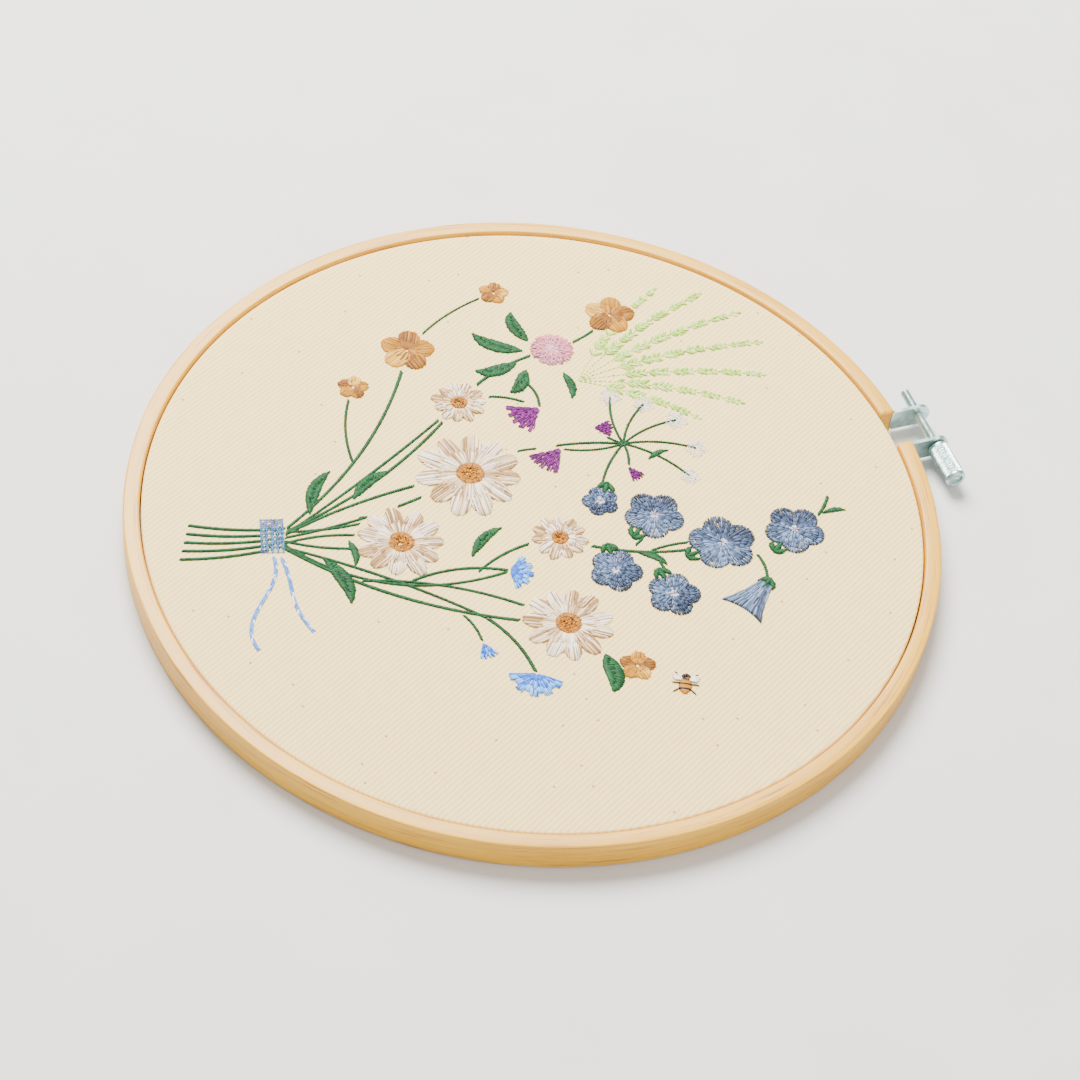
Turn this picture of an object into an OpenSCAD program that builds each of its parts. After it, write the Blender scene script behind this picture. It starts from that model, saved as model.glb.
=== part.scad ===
// Embroidery hoop: a wooden inner ring under stretched cloth, a split outer ring
// clamped round it by a knurled screw, and a stitched bunch of wild flowers.
// +Z is the worked front, +X runs through the tension screw, and the origin is at
// the middle of the hoop on its back plane. Millimetres.

/* [Hoop] */
// Outside diameter of the split outer ring
hoop_od = 208; // [160:1:260]
// Radial thickness of the outer ring
outer_t = 4.2; // [3.5:0.1:5]
// Height of the outer ring, front to back
hoop_h = 8.2; // [8:0.1:11]
// Radial thickness of the inner ring
inner_t = 4; // [3:0.1:5]
// Radius of the outer ring's softened edges
edge_r = 0.7; // [0.3:0.1:1.2]
// Half of the angle that is open between the outer ring's ends
gap_half = 2.9; // [2.2:0.1:4]

/* [Cloth] */
// Thickness of the stretched cloth
cloth_t = 0.5; // [0.3:0.05:0.6]
// How far the cloth lies below the outer ring's front edge
cloth_drop = 0.6; // [0.5:0.1:1.2]
// Space between the turned-down cloth and the outer ring
cloth_gap = 0.3; // [0.2:0.05:0.5]
// Height of the trimmed cloth edge above the back plane
hem_z = 0.6; // [0.3:0.1:2]
// Height of the stitches above the cloth
stitch_t = 0.45; // [0.2:0.05:0.5]

/* [Tension screw] */
// Major diameter of the screw's thread
screw_d = 2.5; // [2:0.1:3]
// Distance from the outer ring's face out to the screw
screw_out = 7.7; // [6.5:0.1:10]
// How far the screw's free end stands past the middle of the gap
screw_free = 14.4; // [12:0.1:18]
// Diameter of the knurled head
knob_d = 5.5; // [5:0.1:7]
// Length of the knurled head
knob_l = 12; // [8:0.5:16]
// Number of axial ridges on the head
knob_ridges = 24; // [16:1:28]

/* [Brackets] */
// Thickness of the bracket's strap, let into the outer ring
strap_t = 0.6; // [0.4:0.1:1]
// Width of the strap
strap_w = 5; // [5:0.1:5.5]
// Angle of ring that each strap covers
strap_angle = 13.2; // [12:0.1:20]
// Thickness of the ear that holds the screw
ear_t = 1; // [0.8:0.1:1.4]
// Height of the ear
ear_h = 6.6; // [6:0.1:7]
// Height of the neck that joins the ear to its strap
root_w = 4.4; // [3:0.1:4.8]
// Angle from the gap's middle to each rivet
rivet_angle = 13.7; // [12:0.1:14]
// Diameter of the rivet's shank
rivet_d = 2; // [1.5:0.1:2.5]
// Diameter of the rivet's head
rivet_head_d = 3.6; // [3:0.1:4.5]

/* [Hidden] */

outer_r = hoop_od / 2;
outer_in_r = outer_r - outer_t;
cloth_r = outer_in_r - cloth_gap;
inner_r = cloth_r - cloth_t;
inner_in_r = inner_r - inner_t;
cloth_z = hoop_h - cloth_drop;
inner_h = cloth_z - cloth_t;
mid_z = hoop_h / 2 + 0.1;

// The screw and the ears
screw_x = outer_r + screw_out;
screw_r = screw_d / 2;
turning_fit = 0.06;
tapped_fit = 0.08;
seat_gap = 0.02;
ear_root = outer_r + 0.1;
ear_y = (ear_root + 1) * sin(gap_half);
knob_y = ear_y + ear_t + 0.1;
knob_chamfer = 0.5;
knob_recess_r = 1.7;
knob_recess = 0.6;
ridge_cut_r = 0.22;
rivet_head_h = 0.9;
rivet_inner_r = outer_in_r + 0.15;

// The outer ring flexes at the middle of its bend, which a pin-like cut stands for.
// The cut faces the middle of the upper ear's travel.
ear_travel = 4;
cut_y = ear_y + ear_t / 2 + ear_travel / 2;
cut_angle = 180 - asin(cut_y / (outer_r - outer_t / 2));
cut_half = 0.04;

// The stitched picture is drawn upright for a 208 mm hoop, then turned and scaled.
// The heads lie near the photo's, in whole millimetres. Their outlines, and the lines
// between them, are drawn by rule.
art_turn = -26.5;
art_scale = hoop_od / 208;
art_gap = 0.3;

// Daisies: x, y, reach of the petals, radius of the centre
daisies = [
    [-18, 8, 15, 3.8],
    [-32, -18, 12, 3.4],
    [12, -36, 12, 3.4],
    [7, -9, 8, 2.3],
    [-24, 32, 8, 2.3]
];
daisy_petal_count = 11;

// Open harebells: x, y, radius, direction of the cap
open_bells = [
    [16, 5, 5, 80],
    [30, 3, 8, 240],
    [48, -3, 9, 215],
    [66, 5, 8, 240],
    [22, -17, 7, 110],
    [37, -22, 7, 120]
];
// The hanging harebell: top, direction it hangs in, length, half width of its mouth
hanging_bell = [60, -14];
hanging_turn = 240;
hanging_l = 12;
hanging_w = 6;
cap_r = 1.8;

// Cornflowers: x, y of the base, direction, reach, half spread
cornflowers = [
    [-4, -22, 0, 6, 70],
    [6, -53, 270, 7, 80],
    [-8, -46, 300, 5, 30]
];

// Buttercups: x, y, petal radius, distance of the petals from the middle
buttercups = [
    [-40, 48, 3.8, 3.8],
    [12, 72, 3.6, 3.6],
    [-52, 32, 2.2, 2.2],
    [-20, 74, 2.2, 2.2],
    [30, -46, 2.4, 2.4]
];
buttercup_petals = 5;

clover_at = [-2, 56];
clover_r = 6.2;

// Knapweed flowers: x, y of the base, direction, reach, half spread
knapweeds = [
    [-3, 34, 225, 9, 38],
    [4, 21, 240, 9, 32],
    [12, 30, 10, 5, 36],
    [22, 18, 315, 5, 24]
];

// White umbels: x, y, radius
umbels = [[15, 42, 3.6], [24, 41, 3.4], [33, 37, 3.6], [39, 28, 3.6], [38, 18, 3.2]];

bee_at = [42, -50];
bee_r = 2.2;

// The tie: middle, turn, size, and the number of wraps
tie_at = [-64, -22];
tie_turn = 12;
tie_size = [5.4, 11];
tie_wraps = 4;
cut_ends = 5;

// A curve from one point to another that bows to one side, then its width
function bowed(from, to, bow, width) =
    let (d = to - from, side = [-d[1], d[0]] * bow)
    [from, from + d / 3 + side, from + d * 2 / 3 + side, to, width];
function toward(at, length, angle) = at + length * [cos(angle), sin(angle)];

// Stems: start, end, bow, width
stem_links = [
    [[-61, -19], [-40, 48], -0.1, 1.2],
    [[-48, 6], [-52, 32], 0.1, 0.9],
    [[-61, -20], [-24, 32], -0.08, 1.2],
    [[-61, -21], [-18, 8], 0.06, 1.2],
    [[-61, -22], [-18, 8], -0.06, 1.1],
    [[-61, -23], [-32, -18], -0.1, 1.1],
    [[-61, -25], [12, -36], -0.1, 1.3],
    [[-61, -20], [-18, 8], -0.13, 1.1],
    [[-61, -21], [-24, 32], -0.02, 1.1],
    [[-61, -24], [-32, -18], 0.12, 1.1],
    [[-61, -24], [-4, -22], -0.2, 1.1],
    [[-61, -25], [-8, -38], 0.04, 1.1],
    [[-40, -32], [12, -36], 0.1, 1.1],
    [[-44, -12], [-18, 8], -0.16, 1],
    [[-18, 8], [4, 21], 0.16, 0.8],
    [[-24, 32], [-3, 34], 0.2, 0.9],
    [[30, -9], [48, -3], 0.1, 1],
    [[-8, -38], [6, -53], 0.1, 1.2],
    [[-14, -38], [-8, -46], 0.1, 0.9],
    [[-28, -30], [-4, -22], 0.12, 1.2],
    [[-12, -24], [7, -9], 0.12, 1.1],
    [[7, -9], [48, -3], -0.12, 1.2],
    [[26, -8], [30, 3], -0.1, 1],
    [[7, -9], [22, -17], 0.3, 1],
    [[30, -9], [37, -22], 0.1, 1],
    [[48, -3], [66, 5], -0.2, 1.1],
    [[56, -4], [60, -14], 0.15, 1],
    [[66, 5], [74, 18], -0.15, 1.2],
    [[-18, 8], [20, 26], 0.12, 1],
    [[20, 26], [16, 5], -0.1, 0.9],
    [[20, 26], [4, 21], 0.1, 0.8],
    [[20, 26], [22, 18], 0.1, 0.9],
    [[20, 26], [12, 30], 0.1, 0.8],
    [[-24, 32], [-2, 56], 0.12, 1.2],
    [[-10, 44], [-3, 34], 0.2, 1],
    [[-2, 56], [12, 72], -0.1, 1.1],
    [[-40, 48], [-20, 74], 0.1, 0.7],
    [[12, -36], [30, -46], -0.12, 1]
];
umbel_root = [20, 26];

// Leaves: x, y, direction, length, width
leaf_places = [
    [-56, -13, 80, 15, 3.6],
    [-46, -6, 55, 13, 3.4],
    [-50, -27, 305, 15, 4],
    [-14, -19, 60, 12, 3],
    [22, -44, 285, 11, 5],
    [-10, 54, 165, 14, 4.4],
    [-9, 58, 120, 11, 4],
    [-11, 49, 205, 11, 4.2],
    [-8, 47, 250, 9, 4.2],
    [2, 48, 290, 9, 2.6],
    [-45, -20, 290, 8, 2.2],
    [27, -10, 340, 8, 2.4],
    [27, 22, 40, 6, 1.8],
    [73, 12, 20, 6, 1.8]
];
leaf_bend = 0.14;

// Fern sprays fan out of one point; the middle ones are the longest
fern_root = [6, 46];
fern_count = 7;
fern_first = 66;
fern_turn = 13;
function fern_l(k) = 53 - 1.7 * pow(k - 2.6, 2);

stem_routes = concat(
    [for (l = stem_links) bowed(l[0], l[1], l[2], l[3])],
    [for (k = [0:cut_ends - 1]) let (step = k - (cut_ends - 1) / 2)
        bowed([-61, -22 + 1.5 * step], [-85, -28 + 2.8 * step], 0.05, 1.2)],
    [for (u = umbels) bowed(umbel_root, [u[0], u[1]], 0.1, 0.8)]
);
leaf_routes = [for (l = leaf_places)
    bowed([l[0], l[1]], toward([l[0], l[1]], l[3], l[2]), leaf_bend, l[4])];
fern_routes = [for (k = [0:fern_count - 1])
    bowed(fern_root, toward(fern_root, fern_l(k), fern_first - fern_turn * k), 0.06, 1.2)];
tail_routes = [for (k = [0, 1])
    let (foot = toward(tie_at, 6.3, 270 + tie_turn) + [2 * k, 0], tip = foot + [2 + 10 * k, 8 * k - 30])
    [foot, foot + [6, -10], tip + [-9, 9], tip, 1.1]];
route_steps = 10;

ring_fn = 240;
round_fn = 64;

// ---- Shapes shared by the sub-parts ----

// A ring's section with softened corners, its inner face at x = in_r
module ring_section(in_r, t, h, r) {
    translate([in_r + r, 0]) square([t - 2 * r, h]);
    translate([in_r, r]) square([t, h - 2 * r]);
    for (x = [in_r + r, in_r + t - r], y = [r, h - r]) {
        translate([x, y]) circle(r = r, $fn = 32);
    }
}

module outer_arc(from, to) {
    rotate_extrude(angle = to - from, start = from, $fn = ring_fn)
        ring_section(outer_in_r, outer_t, hoop_h, edge_r);
}

// The strap's volume, grown by a clearance where it is cut out of the ring
module strap(side, grow) {
    low = side > 0 ? gap_half : -gap_half - strap_angle;
    rotate_extrude(angle = strap_angle + grow, start = low - (side > 0 ? 0 : grow), $fn = ring_fn)
        translate([outer_r - strap_t - grow, mid_z - strap_w / 2 - grow])
            square([strap_t + grow + (grow > 0 ? 1 : 0), strap_w + 2 * grow]);
}

// Places its children on the rivet's axis, +Z outwards along the radius
module on_rivet_axis(side) {
    rotate([0, 0, side * rivet_angle]) translate([0, 0, mid_z]) rotate([0, 90, 0]) children();
}

module rivet_hole(side) {
    on_rivet_axis(side) cylinder(r = rivet_d / 2 + seat_gap, h = outer_r + 2, $fn = round_fn);
}

module outer_half(side, from, to) {
    difference() {
        outer_arc(from, to);
        strap(side, seat_gap);
        rivet_hole(side);
    }
}

// Stands its children on the screw's axis, +Z along +Y
module on_screw_axis() {
    translate([screw_x, 0, mid_z]) rotate([-90, 0, 0]) children();
}

module bracket(side, hole_r) {
    low_y = side > 0 ? ear_y : -ear_y - ear_t;
    difference() {
        union() {
            strap(side, 0);
            translate([outer_r - strap_t / 2, low_y, mid_z - root_w / 2])
                cube([1, ear_t, root_w]);
            translate([ear_root, low_y, mid_z - ear_h / 2])
                cube([screw_x - ear_root, ear_t, ear_h]);
            on_screw_axis() translate([0, 0, low_y])
                cylinder(r = ear_h / 2, h = ear_t, $fn = round_fn);
        }
        rivet_hole(side);
        on_screw_axis() translate([0, 0, low_y - 1])
            cylinder(r = hole_r, h = ear_t + 2, $fn = round_fn);
    }
}

module rivet(side) {
    dome_r = (pow(rivet_head_d / 2, 2) + pow(rivet_head_h, 2)) / (2 * rivet_head_h);
    on_rivet_axis(side) {
        translate([0, 0, rivet_inner_r])
            cylinder(r = rivet_d / 2, h = outer_r + 0.1 - rivet_inner_r, $fn = round_fn);
        intersection() {
            translate([0, 0, outer_r + rivet_head_h - dome_r]) sphere(r = dome_r, $fn = 96);
            translate([0, 0, outer_r + seat_gap])
                cylinder(r = rivet_head_d, h = rivet_head_h, $fn = round_fn);
        }
    }
}

// ---- Stitched shapes ----

// Turns and scales the upright picture onto the cloth, and gives it its height
module on_cloth() {
    translate([0, 0, cloth_z]) linear_extrude(stitch_t)
        rotate(art_turn) scale(art_scale) children();
}

function bezier(p, t) =
    pow(1 - t, 3) * p[0] + 3 * pow(1 - t, 2) * t * p[1]
    + 3 * (1 - t) * t * t * p[2] + pow(t, 3) * p[3];
function across(p, t) =
    let (step = 0.01, d = bezier(p, min(1, t + step)) - bezier(p, max(0, t - step)))
    [-d[1], d[0]] / norm(d);

// A line of stitches of even width along a route
module stitched_line(route) {
    ts = [for (i = [0:route_steps]) i / route_steps];
    polygon(concat(
        [for (t = ts) bezier(route, t) + across(route, t) * route[4] / 2],
        [for (i = [route_steps:-1:0]) bezier(route, ts[i]) - across(route, ts[i]) * route[4] / 2]
    ));
}

// A leaf along a route, widest at its middle and pointed at both ends
module stitched_leaf(route) {
    ts = [for (i = [1:route_steps - 1]) i / route_steps];
    polygon(concat(
        [bezier(route, 0)],
        [for (t = ts) bezier(route, t) + across(route, t) * route[4] / 2 * sin(180 * t)],
        [bezier(route, 1)],
        [for (i = [len(ts) - 1:-1:0])
            bezier(route, ts[i]) - across(route, ts[i]) * route[4] / 2 * sin(180 * ts[i])]
    ));
}

// A fan of stitches: x, y of its base, direction, reach, half spread
module stitched_fan(f) {
    steps = 8;
    translate([f[0], f[1]]) rotate(f[2])
        polygon(concat(
            [[-f[3] * 0.12, 0]],
            [for (i = [-steps:steps])
                let (a = f[4] * i / steps, reach = f[3] * (i % 2 == 0 ? 1 : 0.88))
                [reach * cos(a), reach * sin(a)]]
        ));
}

// A ring of petals as one outline around the flower's middle
module petal_outline(reach, count) {
    points_per_petal = 8;
    total = count * points_per_petal;
    polygon([for (i = [0:total - 1])
        let (a = 360 * i / total, r = reach * (0.62 + 0.38 * pow(abs(cos(count * a / 2)), 0.7)))
        [r * cos(a), r * sin(a)]]);
}

// The share of a bell's radius that it reaches; its five lobes start from the turn
function bell_reach(a) = 0.76 + 0.24 * pow(abs(cos(2.5 * a)), 0.8);

module bell_face(b) {
    steps = 60;
    translate([b[0], b[1]]) rotate(b[3] + 36) polygon([for (i = [0:steps - 1])
        let (a = 360 * i / steps, reach = b[2] * bell_reach(a)) [reach * cos(a), reach * sin(a)]]);
}

// A harebell from the side, hanging from its top towards its spread mouth
module bell_side() {
    steps = 8;
    flare = [for (i = [0:steps]) let (t = i / steps)
        [hanging_l * t, 1.6 + 1.8 * sin(90 * t) + (hanging_w - 3.4) * pow(t, 3)]];
    translate(hanging_bell) rotate(hanging_turn)
        polygon(concat(flare, [[hanging_l * 0.9, 0]],
            [for (i = [steps:-1:0]) [flare[i][0], -flare[i][1]]]));
}

module buttercup_outline(b) {
    translate([b[0], b[1]]) {
        circle(r = b[3] * 0.8, $fn = 32);
        for (k = [0:buttercup_petals - 1]) {
            rotate(20 + 360 * k / buttercup_petals) translate([b[3], 0]) circle(r = b[2], $fn = 32);
        }
    }
}

module bee_outline() {
    translate(bee_at) {
        circle(r = bee_r, $fn = 32);
        translate([0, bee_r * 1.3]) circle(r = bee_r * 0.65, $fn = 32);
        for (side = [-1, 1]) {
            translate([side * bee_r * 1.2, bee_r * 0.6]) circle(r = bee_r * 0.7, $fn = 32);
        }
    }
}

function cap_at(b) = toward([b[0], b[1]], b[2], b[3]);

// The green caps, grown by a clearance where the bells stop short of them
module cap_outlines(grow) {
    for (b = open_bells) translate(cap_at(b)) circle(r = cap_r + grow, $fn = 48);
    translate(hanging_bell) circle(r = cap_r + grow, $fn = 48);
}

// The ground that the flowers cover, where lines and leaves stop
module flower_ground() {
    for (d = daisies) translate([d[0], d[1]]) circle(r = d[2] + art_gap, $fn = 64);
    for (b = open_bells) translate([b[0], b[1]]) circle(r = b[2] + art_gap, $fn = 64);
    for (b = buttercups) translate([b[0], b[1]]) circle(r = b[2] + b[3] + art_gap, $fn = 64);
    for (u = umbels) translate([u[0], u[1]]) circle(r = u[2] + art_gap, $fn = 48);
    cap_outlines(art_gap);
    offset(delta = art_gap) bell_side();
    translate(clover_at) circle(r = clover_r + art_gap, $fn = 64);
    for (f = concat(cornflowers, knapweeds)) {
        stitched_fan([f[0] - 0.5 * cos(f[2]), f[1] - 0.5 * sin(f[2]), f[2], f[3] + 1, f[4] + 4]);
        translate([f[0] + f[3] / 2 * cos(f[2]), f[1] + f[3] / 2 * sin(f[2])])
            circle(r = f[3] / 2 + 1, $fn = 48);
    }
}

// ---- Sub-parts ----

module inner_ring() {
    color("burlywood") rotate_extrude($fn = ring_fn)
        translate([inner_in_r, 0]) square([inner_t, inner_h]);
}

module cloth() {
    color("antiquewhite") translate([0, 0, inner_h])
        cylinder(r = cloth_r, h = cloth_t, $fn = ring_fn);
}

module cloth_edge() {
    color("antiquewhite") rotate_extrude($fn = ring_fn)
        translate([inner_r, hem_z]) square([cloth_t, inner_h - hem_z]);
}

module outer_ring_half() {
    color("wheat") outer_half(-1, cut_angle + cut_half, 360 - gap_half);
}

module outer_ring_flex_half() {
    color("wheat") outer_half(1, gap_half, cut_angle - cut_half);
}

module lower_bracket() {
    color("silver") bracket(-1, screw_r + turning_fit);
}

module upper_bracket() {
    color("silver") bracket(1, screw_r + tapped_fit);
}

module lower_rivet() {
    color("silver") rivet(-1);
}

module upper_rivet() {
    color("silver") rivet(1);
}

module screw_rod() {
    low = -knob_y - knob_l + knob_recess * 0.5;
    color("silver") on_screw_axis() translate([0, 0, low])
        rotate_extrude($fn = round_fn) polygon([
            [0, 0], [screw_r - 0.3, 0], [screw_r, 0.3],
            [screw_r, screw_free - low - 0.4], [screw_r - 0.4, screw_free - low],
            [0, screw_free - low]
        ]);
}

module knurled_head() {
    knob_r = knob_d / 2;
    color("silver") on_screw_axis() translate([0, 0, -knob_y - knob_l])
        difference() {
            rotate_extrude($fn = round_fn) polygon([
                [screw_r, knob_recess], [knob_recess_r, knob_recess], [knob_recess_r, 0],
                [knob_r - knob_chamfer, 0], [knob_r, knob_chamfer],
                [knob_r, knob_l - knob_chamfer], [knob_r - knob_chamfer, knob_l],
                [screw_r, knob_l]
            ]);
            for (i = [0:knob_ridges - 1]) {
                rotate([0, 0, 360 * i / knob_ridges]) translate([knob_r, 0, knob_chamfer * 2])
                    cylinder(r = ridge_cut_r, h = knob_l - knob_chamfer * 4, $fn = 24);
            }
        }
}

module tie_band() {
    wrap_w = tie_size[0] / tie_wraps;
    color("lightsteelblue") on_cloth() translate(tie_at) rotate(tie_turn)
        for (i = [0:tie_wraps - 1]) {
            translate([-tie_size[0] / 2 + i * wrap_w, -tie_size[1] / 2])
                square([wrap_w - 0.1, tie_size[1]]);
        }
}

module tie_tails() {
    color("lightsteelblue") on_cloth() for (r = tail_routes) stitched_line(r);
}

module stems() {
    color("seagreen") on_cloth() difference() {
        for (r = stem_routes) stitched_line(r);
        flower_ground();
        for (r = leaf_routes) stitched_leaf(r);
        translate(tie_at) rotate(tie_turn) square([tie_size[0] + 0.2, tie_size[1] + 4], center = true);
    }
}

module leaves() {
    color("green") on_cloth() difference() {
        for (r = leaf_routes) stitched_leaf(r);
        flower_ground();
    }
}

module fern_sprays() {
    color("yellowgreen") on_cloth() difference() {
        for (r = fern_routes) stitched_line(r);
        flower_ground();
        for (r = stem_routes) stitched_line(r);
    }
}

module white_sprays() {
    color("ghostwhite") on_cloth() for (u = umbels) translate([u[0], u[1]]) petal_outline(u[2], 7);
}

module daisy_petals() {
    color("linen") on_cloth() for (d = daisies) {
        translate([d[0], d[1]]) difference() {
            petal_outline(d[2], daisy_petal_count);
            circle(r = d[3], $fn = 48);
        }
    }
}

module daisy_centres() {
    color("darkorange") on_cloth() for (d = daisies) {
        translate([d[0], d[1]]) circle(r = d[3] - 0.05, $fn = 48);
    }
}

module harebells() {
    color("slategray") on_cloth() difference() {
        union() {
            for (b = open_bells) bell_face(b);
            bell_side();
        }
        cap_outlines(0.1);
    }
}

module harebell_caps() {
    color("green") on_cloth() cap_outlines(0);
}

module cornflowers() {
    color("cornflowerblue") on_cloth() for (c = cornflowers) stitched_fan(c);
}

module buttercups() {
    color("goldenrod") on_cloth() for (b = buttercups) buttercup_outline(b);
}

module clover_head() {
    color("pink") on_cloth() translate(clover_at) petal_outline(clover_r, 9);
}

module knapweed() {
    color("darkmagenta") on_cloth() for (k = knapweeds) stitched_fan(k);
}

module bee() {
    color("saddlebrown") on_cloth() bee_outline();
}

inner_ring();
cloth();
cloth_edge();
outer_ring_half();
outer_ring_flex_half();
lower_bracket();
upper_bracket();
lower_rivet();
upper_rivet();
screw_rod();
knurled_head();
tie_band();
tie_tails();
stems();
leaves();
fern_sprays();
white_sprays();
daisy_petals();
daisy_centres();
harebells();
harebell_caps();
cornflowers();
buttercups();
clover_head();
knapweed();
bee();
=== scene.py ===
"""Embroidery hoop: wooden rings, stretched twill, zinc hardware and stitched wild flowers.

The frame's origin is the middle of the hoop on its back plane. +Z leaves the stitched
front and +X runs through the tension screw. The stitched picture is drawn upright in
millimetres, in its own axes, and is turned onto the cloth by PICTURE_TURN.
"""
import math
import random

import bpy
import bmesh
from mathutils import Matrix, Vector


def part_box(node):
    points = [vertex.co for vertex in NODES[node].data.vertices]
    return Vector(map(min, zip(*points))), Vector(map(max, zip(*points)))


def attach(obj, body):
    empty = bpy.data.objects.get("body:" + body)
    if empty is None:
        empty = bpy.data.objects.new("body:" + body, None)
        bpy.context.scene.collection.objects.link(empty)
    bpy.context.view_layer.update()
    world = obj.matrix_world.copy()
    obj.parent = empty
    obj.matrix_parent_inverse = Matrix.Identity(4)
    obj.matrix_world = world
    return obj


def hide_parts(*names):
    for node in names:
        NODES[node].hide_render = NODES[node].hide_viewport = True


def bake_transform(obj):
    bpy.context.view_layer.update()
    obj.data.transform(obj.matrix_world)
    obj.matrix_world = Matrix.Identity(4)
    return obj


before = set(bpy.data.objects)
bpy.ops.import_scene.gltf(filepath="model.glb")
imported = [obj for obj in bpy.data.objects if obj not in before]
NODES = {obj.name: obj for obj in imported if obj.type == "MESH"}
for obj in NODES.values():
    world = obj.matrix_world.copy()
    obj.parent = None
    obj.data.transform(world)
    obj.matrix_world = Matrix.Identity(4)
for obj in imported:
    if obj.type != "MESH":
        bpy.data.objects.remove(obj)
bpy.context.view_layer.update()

MM = 0.001
TAU = 2 * math.pi

# Sizes in millimetres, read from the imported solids. The rings' thicknesses, the gap and the
# seats of the straps repeat the CAD source.
OUTER_R = -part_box("outer_ring_half")[0].y / MM
RING_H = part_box("outer_ring_half")[1].z / MM
OUTER_T = 4.2
OUTER_IN_R = OUTER_R - OUTER_T
CLOTH_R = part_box("cloth")[1].x / MM
CLOTH_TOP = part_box("cloth")[1].z / MM
CLOTH_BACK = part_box("cloth")[0].z / MM
HEM_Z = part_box("cloth_edge")[0].z / MM
INNER_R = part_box("inner_ring")[1].x / MM
INNER_T = 4.0
SCREW_X = (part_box("screw_rod")[0].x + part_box("screw_rod")[1].x) / 2 / MM
SCREW_Z = (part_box("screw_rod")[0].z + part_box("screw_rod")[1].z) / 2 / MM
SCREW_R = (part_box("screw_rod")[1].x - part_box("screw_rod")[0].x) / 2 / MM

PICTURE_TURN = math.radians(-26.5)
GAP_HALF = math.radians(2.9)
STRAP_END = math.radians(2.9 + 13.2)
STRAP_LOW = 1.7
STRAP_HIGH = 6.7
STRAP_DEPTH = 0.62


# ---------------------------------------------------------------- camera

CAMERA_ELEVATION = math.radians(49.55)
CAMERA_DISTANCE = 0.7047
CAMERA_LENS = 92.1
CAMERA_ROLL = math.radians(8.23)
CAMERA_TARGET = (0.0021, -0.0042)


def turned(x, y, angle=PICTURE_TURN):
    """A point of the upright picture in the hoop's own axes."""
    return (x * math.cos(angle) - y * math.sin(angle),
            x * math.sin(angle) + y * math.cos(angle))


def make_camera():
    data = bpy.data.cameras.new("camera")
    data.lens = CAMERA_LENS
    data.sensor_width = 36
    camera = bpy.data.objects.new("camera", data)
    bpy.context.scene.collection.objects.link(camera)
    tx, ty = turned(*CAMERA_TARGET)
    bx, by = turned(0, -CAMERA_DISTANCE * math.cos(CAMERA_ELEVATION))
    place = Vector((tx + bx, ty + by, CAMERA_DISTANCE * math.sin(CAMERA_ELEVATION)))
    aim = (Vector((tx, ty, 0)) - place).to_track_quat("-Z", "Y").to_matrix().to_4x4()
    camera.matrix_world = Matrix.Translation(place) @ aim @ Matrix.Rotation(CAMERA_ROLL, 4, "Z")
    bpy.context.scene.camera = camera


# ---------------------------------------------------------------- node helpers

def new_material(name, colour, roughness, metallic=0.0):
    material = bpy.data.materials.new(name)
    material.use_nodes = True
    shader = material.node_tree.nodes["Principled BSDF"]
    shader.inputs["Base Color"].default_value = (*colour, 1)
    shader.inputs["Roughness"].default_value = roughness
    shader.inputs["Metallic"].default_value = metallic
    return material, material.node_tree, shader


def add(tree, kind, **values):
    node = tree.nodes.new(kind)
    for key, value in values.items():
        setattr(node, key, value)
    return node


def math_node(tree, operation, a, b=None):
    node = add(tree, "ShaderNodeMath", operation=operation)
    for socket, value in zip(node.inputs, (a, b)):
        if value is None:
            continue
        if isinstance(value, (int, float)):
            socket.default_value = value
        else:
            tree.links.new(value, socket)
    return node.outputs[0]


def plus(tree, a, b):
    return math_node(tree, "ADD", a, b)


def times(tree, a, b):
    return math_node(tree, "MULTIPLY", a, b)


def combine(tree, *parts):
    node = add(tree, "ShaderNodeCombineXYZ")
    for socket, value in zip(node.inputs, parts):
        tree.links.new(value, socket)
    return node.outputs[0]


def ramp(tree, source, stops):
    node = add(tree, "ShaderNodeValToRGB")
    elements = node.color_ramp.elements
    while len(elements) < len(stops):
        elements.new(0.5)
    for element, (place, colour) in zip(elements, stops):
        element.position = place
        element.color = (*colour, 1)
    tree.links.new(source, node.inputs[0])
    return node.outputs[0]


def mix(tree, factor, a, b, blend_type="MIX"):
    node = add(tree, "ShaderNodeMix", data_type="RGBA", blend_type=blend_type)
    for socket, value in ((node.inputs[0], factor), (node.inputs[6], a), (node.inputs[7], b)):
        if isinstance(value, (int, float)):
            socket.default_value = value
        elif isinstance(value, tuple):
            socket.default_value = (*value, 1)
        else:
            tree.links.new(value, socket)
    return node.outputs[2]


def noise(tree, vector, scale, detail=2.0, roughness=0.5, w=None):
    node = add(tree, "ShaderNodeTexNoise", noise_dimensions="3D" if w is None else "4D")
    node.inputs["Scale"].default_value = scale
    node.inputs["Detail"].default_value = detail
    node.inputs["Roughness"].default_value = roughness
    tree.links.new(vector, node.inputs["Vector"])
    if w is not None:
        tree.links.new(w, node.inputs["W"])
    return node.outputs[0]


def bump(tree, shader, height, strength, distance):
    node = add(tree, "ShaderNodeBump")
    node.inputs["Strength"].default_value = strength
    node.inputs["Distance"].default_value = distance
    tree.links.new(height, node.inputs["Height"])
    tree.links.new(node.outputs[0], shader.inputs["Normal"])


def object_axes(tree):
    coordinates = add(tree, "ShaderNodeTexCoord").outputs["Object"]
    parts = add(tree, "ShaderNodeSeparateXYZ")
    tree.links.new(coordinates, parts.inputs[0])
    return coordinates, parts.outputs[0], parts.outputs[1], parts.outputs[2]


# ---------------------------------------------------------------- materials

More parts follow.
